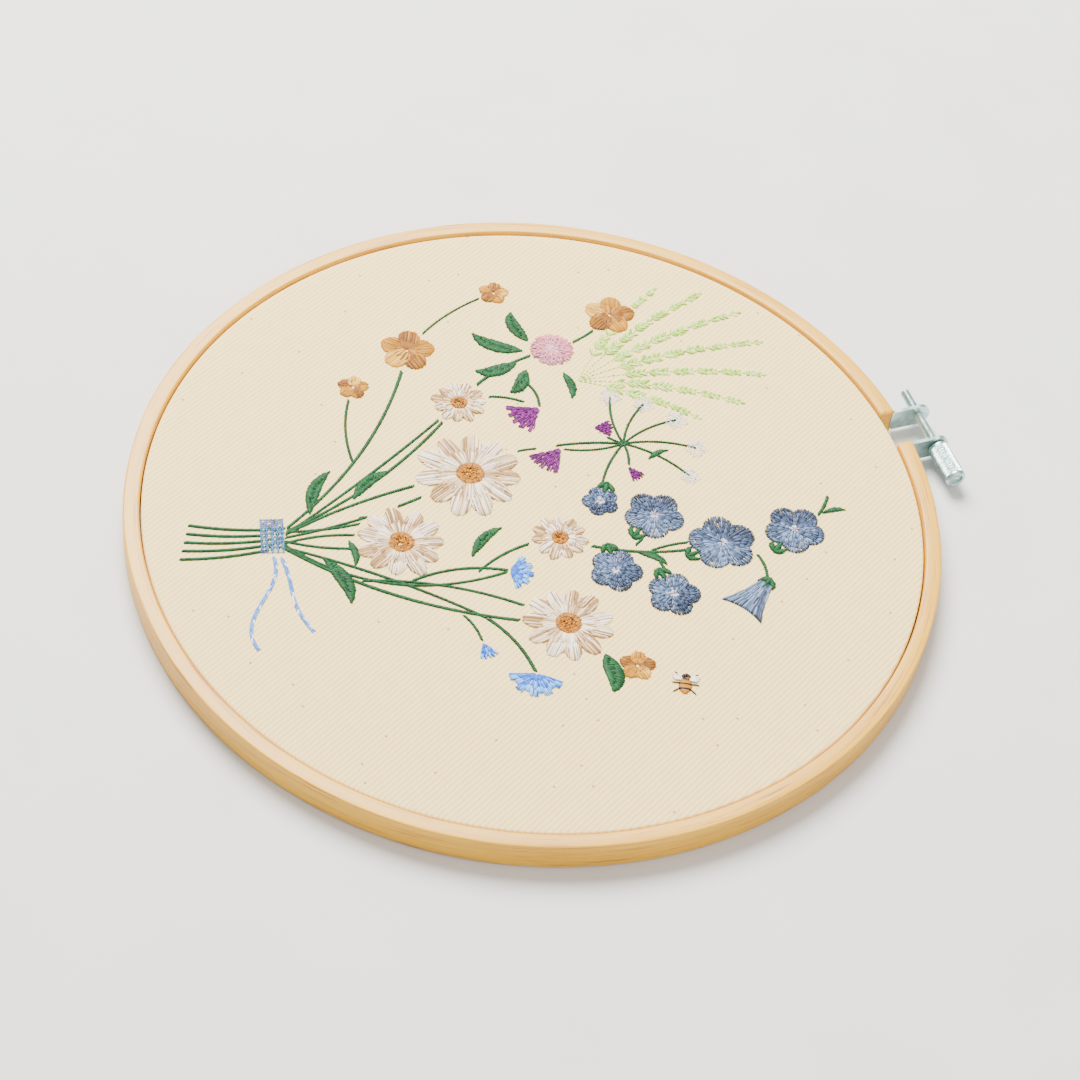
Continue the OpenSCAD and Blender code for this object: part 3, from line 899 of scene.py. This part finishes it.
STEMS = ([bowed(*link) for link in STEM_LINKS]
         + [bowed((-61, -22 + 1.5 * k), (-85, -28 + 2.8 * k), 0.05, 1.2)
            for k in range(-(CUT_ENDS // 2), CUT_ENDS // 2 + 1)]
         + [bowed(UMBEL_ROOT, umbel[:2], 0.1, 0.8) for umbel in UMBELS])
LEAVES = [bowed((x, y), toward((x, y), length, turn), LEAF_BEND, width)
          for x, y, turn, length, width in LEAF_PLACES]
FERNS = [bowed(FERN_ROOT, toward(FERN_ROOT, fern_length(k), FERN_FIRST - FERN_STEP * k), 0.06, 1.2)
         for k in range(FERN_COUNT)]


def tail_route(k):
    foot = toward(TIE_AT, 6.3, 270 + math.degrees(TIE_TURN))
    foot = (foot[0] + 2 * k, foot[1])
    tip = (foot[0] + 2 + 10 * k, foot[1] + 8 * k - 30)
    return (foot, (foot[0] + 6, foot[1] - 10), (tip[0] - 9, tip[1] + 9), tip, 1.1)


# The discs that the flowers cover, where lines and leaves stop
GROUND = ([flower[:3] for flower in DAISIES + OPEN_BELLS]
          + [(x, y, 2 * r) for x, y, r in BUTTERCUPS] + [CLOVER + (CLOVER_R,)]
          + [toward(f[:2], f[3] / 2, f[2]) + (f[3] / 2 + 0.6,) for f in CORNFLOWERS + KNAPWEEDS])


def covered(point):
    return any(math.dist(point, (x, y)) < r - 0.4 for x, y, r in GROUND)


ROPE_STEP = 0.62
SATIN_STEP = 0.32

# A stretch of stem between two flowers is left out if it is shorter than this many steps
STRAY_STEPS = 10


def in_view(points):
    """Whether each point shows: not under a flower, nor in a short stretch between two."""
    shown = [not covered(point) for point, _ in points]
    first = 0
    for i in range(len(shown)):
        if not shown[i]:
            if 0 < first and i - first < STRAY_STEPS:
                shown[first:i] = [False] * (i - first)
            first = i + 1
    return shown


def rope(work, route, thread, second):
    """A line of short slanting stitches that overlap like the strands of a cord."""
    width = route[4]
    points = even_points(route[:4], ROPE_STEP)
    shown = in_view(points)
    last = len(points) - 1
    for i in range(last):
        (ax, ay), (ux, uy) = points[i]
        (bx, by), (vx, vy) = points[min(i + 2, last)]
        reach = width * 0.4 + work.jitter(0.06)
        lift = 0.32 + work.jitter(0.04)
        if not (shown[i] and shown[min(i + 2, last)]):
            continue
        work.stitch((ax + uy * reach, ay - ux * reach), (bx - vy * reach, by + vx * reach),
                    thread if i % 2 else second, width=0.3 + width * 0.3, lift=lift)


def satin_leaf(work, route, threads, base=0.06):
    """A leaf of slanting satin stitches that run from edge to edge."""
    points = even_points(route[:4], SATIN_STEP)
    count = len(points) - 1
    for i, ((x, y), (ux, uy)) in enumerate(points):
        half = route[4] / 2 * math.sin(math.pi * (0.03 + 0.94 * i / count)) ** 0.75
        half = max(0.2, half + work.jitter(0.14))
        lean = half * 0.55
        low = (x + uy * half - ux * lean, y - ux * half - uy * lean)
        high = (x - uy * half + ux * lean, y + ux * half + uy * lean)
        if base < 0.2 and covered((x, y)):
            continue
        if half < 1.3:
            work.stitch(low, high, work.pick(*threads), width=0.46, lift=0.3, base=base)
            continue
        split = work.random.uniform(0.35, 0.65)
        for ends, over in (((0, split), 0), ((split - 0.08, 1), 0.04)):
            a, b = [tuple(low[k] + (high[k] - low[k]) * t for k in (0, 1)) for t in ends]
            work.stitch(a, b, work.pick(*threads), width=0.46, lift=0.3, base=base + over)


def petal(work, centre, turn, near, reach, half, inner, outer, base):
    """A rounded petal of two rows of long stitches that follow its length."""
    ux, uy = math.cos(turn), math.sin(turn)
    count = max(5, int(half * 2 / 0.3))

    def at(r, side):
        return (centre[0] + ux * r - uy * side, centre[1] + uy * r + ux * side)

    for j in range(count):
        u = (j + 0.5) / count * 2 - 1 + work.jitter(0.03)
        end = near + (reach - near) * (1 - 0.3 * abs(u) ** 2.6) - abs(work.jitter(0.4))
        split = near + (end - near) * work.random.uniform(0.4, 0.62)
        work.stitch(at(near, u * half * 0.34), at(split, u * half * 0.88), work.pick(*inner),
                    width=0.42, lift=0.24, base=base, bow=work.jitter(0.1))
        work.stitch(at(split - 0.7, u * half * 0.84), at(end, u * half * 0.84), work.pick(*outer),
                    width=0.42, lift=0.24, base=base + 0.05, bow=work.jitter(0.12))
    return at


def daisy_petals(work):
    for number, (cx, cy, reach, core) in enumerate(DAISIES):
        for k in range(PETALS):
            angle = TAU * k / PETALS + 0.2 * number + work.jitter(0.06)
            length = reach * work.random.uniform(0.88, 1.0)
            shade = min(1, max(0, 0.5 + 0.5 * math.cos(3 * angle + number) + work.jitter(0.25)))
            half = reach * 0.215
            base = 0.06 + 0.08 * (k % 2)
            at = petal(work, (cx, cy), angle, core * 0.85, length, half,
                       (("white", 1.6 - 1.3 * shade), ("cream", 2.2), ("tan", 1 + 2.8 * shade)),
                       (("white", 1.8 - 1.5 * shade), ("cream", 2.2), ("tan", 1 + 3.2 * shade)),
                       base)
            for _ in range(int(3 + 6 * shade)):
                side = work.jitter(0.85) * half
                r = core + work.random.uniform(0.05, 0.5) * (length - core)
                run = work.random.uniform(1.2, 3.0) * reach / 14
                work.stitch(at(r, side * (0.4 + 0.5 * r / length)),
                            at(r + run, side * (0.5 + 0.5 * r / length)),
                            work.pick(("tan", 3), ("brown", 0.7 * shade)), width=0.24, lift=0.2,
                            base=base + 0.12)


def daisy_centres(work):
    for cx, cy, _, core in DAISIES:
        rim = int(TAU * core / 0.36)
        for i in range(rim):
            angle = TAU * i / rim
            work.ray((cx, cy), core * 0.45, core + work.jitter(0.15), angle,
                     work.pick(("orange", 3), ("rust", 1.4)), 0.12, width=0.5, lift=0.26, base=0.12)
        for _ in range(int(core * core * 15)):
            radius = core * math.sqrt(work.random.random()) * 0.94
            dome = 0.2 + 0.16 * (1 - (radius / core) ** 2)
            middle = polar((cx, cy), radius, work.random.random() * TAU)
            lean = work.random.random() * math.pi
            half = work.random.uniform(0.35, 0.7)
            work.stitch(polar(middle, -half, lean), polar(middle, half, lean),
                        work.pick(("orange", 4), ("rust", 1.8), ("gold", 0.8)), width=0.42, lift=0.18,
                        base=dome)


BELL_BANDS = ((0.78, 1.0, 0.1), (0.56, 0.84, 0.13), (0.34, 0.64, 0.16), (0.12, 0.42, 0.18))


def bell_reach(angle):
    """The share of a bell's radius that its five lobes reach."""
    return 0.76 + 0.24 * abs(math.cos(2.5 * angle)) ** 0.8


def open_bell(work, x, y, radius, cap):
    turn = math.radians(cap + 36)
    for near, far, base in BELL_BANDS:
        count = int(TAU * radius * far / 0.3)
        for i in range(count):
            angle = TAU * i / count + work.jitter(0.03)
            reach = radius * bell_reach(angle - turn)
            tone = (0.3 * math.cos(5 * (angle - turn))
                    - math.cos(angle - turn) * (0.35 + 0.65 * far))
            thread = work.pick(("slate", 2.2), ("navy", 0.5 + 1.7 * tone),
                               ("mist", 0.8 - 1.4 * tone))
            work.ray((x, y), reach * (near + work.jitter(0.05)),
                     reach * (far - abs(work.jitter(0.05))), angle, thread, width=0.38, lift=0.25,
                     base=base, bow=work.jitter(0.1))
    rim = int(TAU * radius / 0.6)
    for i in range(rim):
        angle = TAU * i / rim + work.jitter(0.03)
        reach = radius * bell_reach(angle - turn)
        work.ray((x, y), reach - 0.8, reach, angle, "navy", width=0.26, lift=0.2, base=0.2)
    for i in range(26):
        angle = TAU * i / 26 + work.jitter(0.08)
        work.ray((x, y), 0.15, work.random.uniform(1.0, 2.0), angle,
                 work.pick(("lilac", 4), ("navy", 1.6), ("mist", 1)), width=0.28, lift=0.2,
                 base=0.24)


def hanging_bell(work):
    count = 40
    ux, uy = math.cos(HANGING_TURN), math.sin(HANGING_TURN)
    for i in range(count):
        s = (i + 0.5) / count * 2 - 1

        def at(t):
            half = 1.6 + 1.8 * math.sin(math.pi / 2 * min(1, t)) + (HANGING_W - 3.4) * t ** 3
            along = HANGING_L * t * (1 - 0.1 * (1 - s * s) * t)
            return (HANGING_TOP[0] + ux * along - uy * half * s,
                    HANGING_TOP[1] + uy * along + ux * half * s)

        for k in range(4):
            thread = work.pick(("slate", 2.4), ("navy", 1.2 + s), ("mist", 1.2 - s))
            top = at(max(0, k * 0.24 - 0.03 + work.jitter(0.03)))
            work.stitch(top, at(k * 0.24 + 0.28), thread, width=0.4, lift=0.26,
                        base=0.12 + 0.02 * (k % 2), bow=work.jitter(0.08))
        if i % 2:
            work.stitch(at(0.93), at(1.0), "navy", width=0.26, lift=0.2, base=0.2)


def harebells(work):
    for bell in OPEN_BELLS:
        open_bell(work, *bell)
    hanging_bell(work)


def harebell_caps(work):
    """Three short leaves hold each bell, pointing at its middle."""
    caps = [(cap_at(bell), bell[3] + 180) for bell in OPEN_BELLS]
    caps.append((HANGING_TOP, math.degrees(HANGING_TURN)))
    for at, turn in caps:
        root = toward(at, -CAP_R, turn)
        for spread in (-38, 0, 38):
            tip = toward(root, 2 * CAP_R * (1.05 - abs(spread) / 400), turn + spread)
            satin_leaf(work, bowed(root, tip, spread / 400, 1.7), (("leaf", 3), ("green", 1)),
                       base=0.2)


def fan(work, flower, bands):
    """Bands of short stitches from a base out to a ragged edge; a band has its own threads."""
    x, y, turn, reach, spread = flower
    for near, far, base, threads in bands:
        count = max(6, int(2 * math.radians(spread) * reach * far / 0.27))
        for i in range(count + 1):
            angle = math.radians(turn + spread * (2 * i / count - 1)) + work.jitter(0.03)
            long = reach * (1 - 0.14 * (int(9 * i / count) % 2))
            work.ray((x, y), long * max(0.02, near + work.jitter(0.05)),
                     long * (far - abs(work.jitter(0.05))), angle, work.pick(*threads), width=0.4,
                     lift=0.25, base=base, bow=work.jitter(0.08))


def cornflowers(work):
    for flower in CORNFLOWERS:
        fan(work, flower, ((0.62, 1.0, 0.1, (("sky", 3), ("blue", 1.2))),
                           (0.3, 0.72, 0.14, (("sky", 1), ("blue", 2.4))),
                           (0.0, 0.42, 0.18, (("blue", 4), ("slate", 0.5)))))


def knapweed(work):
    magenta = (("purple", 3), ("plum", 1.4))
    for flower in KNAPWEEDS:
        fan(work, flower, [(0.24 * k, 0.24 * k + 0.28, 0.2 - 0.03 * k, magenta) for k in range(4)])


def buttercups(work):
    for number, (x, y, radius) in enumerate(BUTTERCUPS):
        for k in range(BUTTERCUP_PETALS):
            thread = ("gold", "ochre", "gold", "peach", "ochre")[(k + number) % 5]
            petal(work, (x, y), math.radians(20) + TAU * k / BUTTERCUP_PETALS, 0.3, 2 * radius,
                  radius * 0.92, ((thread, 4), ("ochre", 1.6)), ((thread, 6), ("gold", 1.4)),
                  0.06 + 0.06 * (k % 2))


def clover_head(work):
    total = 560
    for i in range(total):
        radius = CLOVER_R * 0.95 * math.sqrt((i + 0.5) / total)
        angle = i * GOLDEN_ANGLE + work.jitter(0.15)
        dome = 0.1 + 0.2 * (1 - (radius / CLOVER_R) ** 2)
        low = 0.5 - 0.5 * math.sin(angle)
        thread = work.pick(("pink", 3.6), ("mauve", 0.3 + 1.8 * low * radius / CLOVER_R),
                           ("lilac", 1.4 * (radius < 3)))
        work.stitch(polar(CLOVER, max(0.0, radius - work.random.uniform(0.8, 1.6)), angle),
                    polar(CLOVER, radius + 0.2, angle + work.jitter(0.12)), thread, width=0.42,
                    lift=0.24, base=dome)


def leaflet(work, x, y, angle, length, threads):
    for k in (-1, 0, 1):
        sx, sy = -math.sin(angle) * k * 0.3, math.cos(angle) * k * 0.3
        tip = polar((x + sx, y + sy), length * (1 - 0.12 * abs(k)), angle)
        work.stitch((x + sx / 2, y + sy / 2), tip, work.pick(*threads), width=0.38, lift=0.24,
                    base=0.02 + 0.04 * (k == 0))


def fern_sprays(work):
    threads = (("lime", 4), ("moss", 1.8), ("pale", 1.6))
    for route in FERNS:
        points = even_points(route[:4], 1.3)
        for i, ((x, y), (ux, uy)) in enumerate(points):
            t = i / (len(points) - 1)
            if covered((x, y)):
                continue
            heading = math.atan2(uy, ux)
            length = 3.1 * (1.05 - 0.5 * t) * work.random.uniform(0.8, 1.1)
            work.ray((x, y), 0, 1.4, heading, work.pick(*threads), width=0.3, lift=0.2)
            if t < 0.22 or i % 5 == 4:
                continue
            for side in (-1, 1) if t < 0.98 else (0,):
                angle = heading + side * math.radians(37 + work.jitter(8))
                leaflet(work, x, y, angle, length, threads)


def white_sprays(work):
    """Each umbel is a disc of little five-stitch florets."""
    for x, y, radius in UMBELS:
        for i in range(16):
            at = polar((x, y), (radius - 0.9) * math.sqrt((i + 0.5) / 16), i * GOLDEN_ANGLE)
            turn = work.random.random() * TAU
            size = work.random.uniform(0.75, 1.1)
            for k in range(5):
                work.ray(at, 0.12, size, turn + TAU * k / 5,
                         work.pick(("white", 4), ("lilac", 1.4)), width=0.4, lift=0.22)


def tie_point(px, py):
    return (TIE_AT[0] + px * math.cos(TIE_TURN) - py * math.sin(TIE_TURN),
            TIE_AT[1] + px * math.sin(TIE_TURN) + py * math.cos(TIE_TURN))


def tie_band(work):
    wrap = TIE_SIZE[0] / TIE_WRAPS
    rows = int(TIE_SIZE[1] / 0.62)
    for column in range(TIE_WRAPS + 1):
        x = -TIE_SIZE[0] / 2 + wrap * column
        for row in range(rows):
            y = -TIE_SIZE[1] / 2 + TIE_SIZE[1] * row / rows
            sway = 0.16 * (-1) ** row
            work.stitch(tie_point(x - sway, y - 0.1), tie_point(x + sway, y + 0.75),
                        work.pick(("tie", 5), ("blue", 0.8)), width=0.46, lift=0.26, base=0.24)
            if column < TIE_WRAPS:
                work.stitch(tie_point(x + 0.25, y + 0.15), tie_point(x + wrap - 0.25, y + 0.55),
                            work.pick(("tie", 2.4), ("white", 1.8), ("slate", 0.9)), width=0.4,
                            lift=0.22, base=0.2)


def tie_tails(work):
    for k in (0, 1):
        points = even_points(tail_route(k)[:4], 0.95)
        for (a, _), (b, (vx, vy)) in zip(points, points[2:]):
            for side in (-0.42, 0.42):
                work.stitch(a, (b[0] - vy * side, b[1] + vx * side),
                            work.pick(("tie", 5), ("white", 1)), width=0.52, lift=0.28)


def bee(work):
    """A small striped bee with a fluffy chest, two wings and six legs."""
    x, y = BEE
    for k in range(9):
        level = -BEE_R + k * 0.5
        half = 1.7 * math.sqrt(max(0.06, 1 - (level / (BEE_R + 0.3)) ** 2))
        thread = "dark" if k % 3 == 2 else work.pick(("orange", 3), ("gold", 1.5))
        for n in range(2):
            height = y + level + n * 0.25
            work.stitch((x - half, height), (x + half, height), thread, width=0.4, lift=0.28,
                        base=0.12)
    for i in range(24):
        work.ray((x, y + 2.6), 0.1, 1.25, TAU * i / 24, work.pick(("dark", 2), ("orange", 1)), 0.3,
                 width=0.38, lift=0.26, base=0.14)
    for side in (-1, 1):
        for level, turn in ((2.4, 40), (0.6, 0), (-0.8, -40)):
            hip = (x + side * 1.1, y + level)
            work.stitch(hip, toward(hip, 2.4, 90 - side * (90 - turn)), "dark", width=0.34, lift=0.24,
                        base=0.08)
        for k in range(9):
            hinge = (x + side * 0.8, y + 1.6)
            work.stitch(hinge, toward(hinge, 3.1 - abs(k - 4) * 0.22, 90 - side * (30 + k * 8)),
                        work.pick(("white", 4), ("tan", 0.5)), width=0.32, lift=0.2, base=0.24)


def stems(work):
    for route in STEMS:
        rope(work, route, "green", "leaf")


def leaves(work):
    for route in LEAVES:
        satin_leaf(work, route, (("leaf", 3), ("green", 1.6)))


# Stitched pieces: name, the CAD node that it replaces, material slot, and what draws it
MOTIFS = [
    ("stem_stitches", "stems", "green_thread", stems),
    ("leaf_stitches", "leaves", "green_thread", leaves),
    ("fern_stitches", "fern_sprays", "lime_thread", fern_sprays),
    ("white_stitches", "white_sprays", "white_thread", white_sprays),
    ("daisy_petal_stitches", "daisy_petals", "cream_thread", daisy_petals),
    ("daisy_centre_stitches", "daisy_centres", "orange_thread", daisy_centres),
    ("harebell_stitches", "harebells", "slate_thread", harebells),
    ("harebell_cap_stitches", "harebell_caps", "green_thread", harebell_caps),
    ("cornflower_stitches", "cornflowers", "blue_thread", cornflowers),
    ("buttercup_stitches", "buttercups", "gold_thread", buttercups),
    ("clover_stitches", "clover_head", "pink_thread", clover_head),
    ("knapweed_stitches", "knapweed", "purple_thread", knapweed),
    ("tie_band_stitches", "tie_band", "sky_thread", tie_band),
    ("tie_tail_stitches", "tie_tails", "sky_thread", tie_tails),
    ("bee_stitches", "bee", "amber_thread", bee),
]


def make_stitching():
    for seed, (name, node, slot, draw) in enumerate(MOTIFS, 11):
        work = Stitches(name, seed)
        draw(work)
        work.finish(node)


# ---------------------------------------------------------------- floor and light

FLOOR_HALF = 14


def make_stage():
    work = bmesh.new()
    bmesh.ops.create_grid(work, x_segments=2, y_segments=2, size=FLOOR_HALF)
    mesh = bpy.data.meshes.new("floor")
    work.to_mesh(mesh)
    work.free()
    floor = bpy.data.objects.new("floor", mesh)
    bpy.context.scene.collection.objects.link(floor)
    material, tree, shader = new_material("floor", (0.72, 0.72, 0.71), 0.8)
    coordinates, *_ = object_axes(tree)
    clouds = noise(tree, coordinates, 30.0, 3.0)
    tree.links.new(ramp(tree, clouds, [(0.3, (0.70, 0.70, 0.69)), (0.7, (0.74, 0.74, 0.73))]),
                   shader.inputs["Base Color"])
    mesh.materials.append(material)
    floor.location.z = -0.0002


def area_light(name, place, size, power, colour=(1, 1, 1)):
    data = bpy.data.lights.new(name, "AREA")
    data.shape = "DISK"
    data.size = size
    data.energy = power
    data.color = colour
    lamp = bpy.data.objects.new(name, data)
    bpy.context.scene.collection.objects.link(lamp)
    lamp.location = place
    lamp.rotation_euler = (-Vector(place)).to_track_quat("-Z", "Y").to_euler()


def make_lights():
    x, y = turned(-0.35, 0.75)
    area_light("window", (x, y, 1.1), 0.9, 74, (1.0, 0.975, 0.94))
    x, y = turned(0.7, -0.6)
    area_light("fill", (x, y, 0.9), 1.2, 6, (1.0, 0.99, 0.97))
    world = bpy.data.worlds.new("studio")
    world.use_nodes = True
    world.node_tree.nodes["Background"].inputs[0].default_value = (1.0, 0.985, 0.96, 1)
    world.node_tree.nodes["Background"].inputs[1].default_value = 0.85
    bpy.context.scene.world = world


make_camera()
outer_wood = wood_material("outer_wood", srgb(232, 174, 18), srgb(182, 114, 8),
                           srgb(247, 204, 64))
inner_wood = wood_material("inner_wood", srgb(230, 174, 38), srgb(184, 120, 18),
                           srgb(244, 200, 80))
zinc = zinc_material()
make_outer_strip(outer_wood)
make_inner_strip(inner_wood)
make_cloth(cloth_material())
make_rod(zinc)
make_head(zinc)
dress_brackets(zinc)
make_stitching()
make_stage()
make_lights()
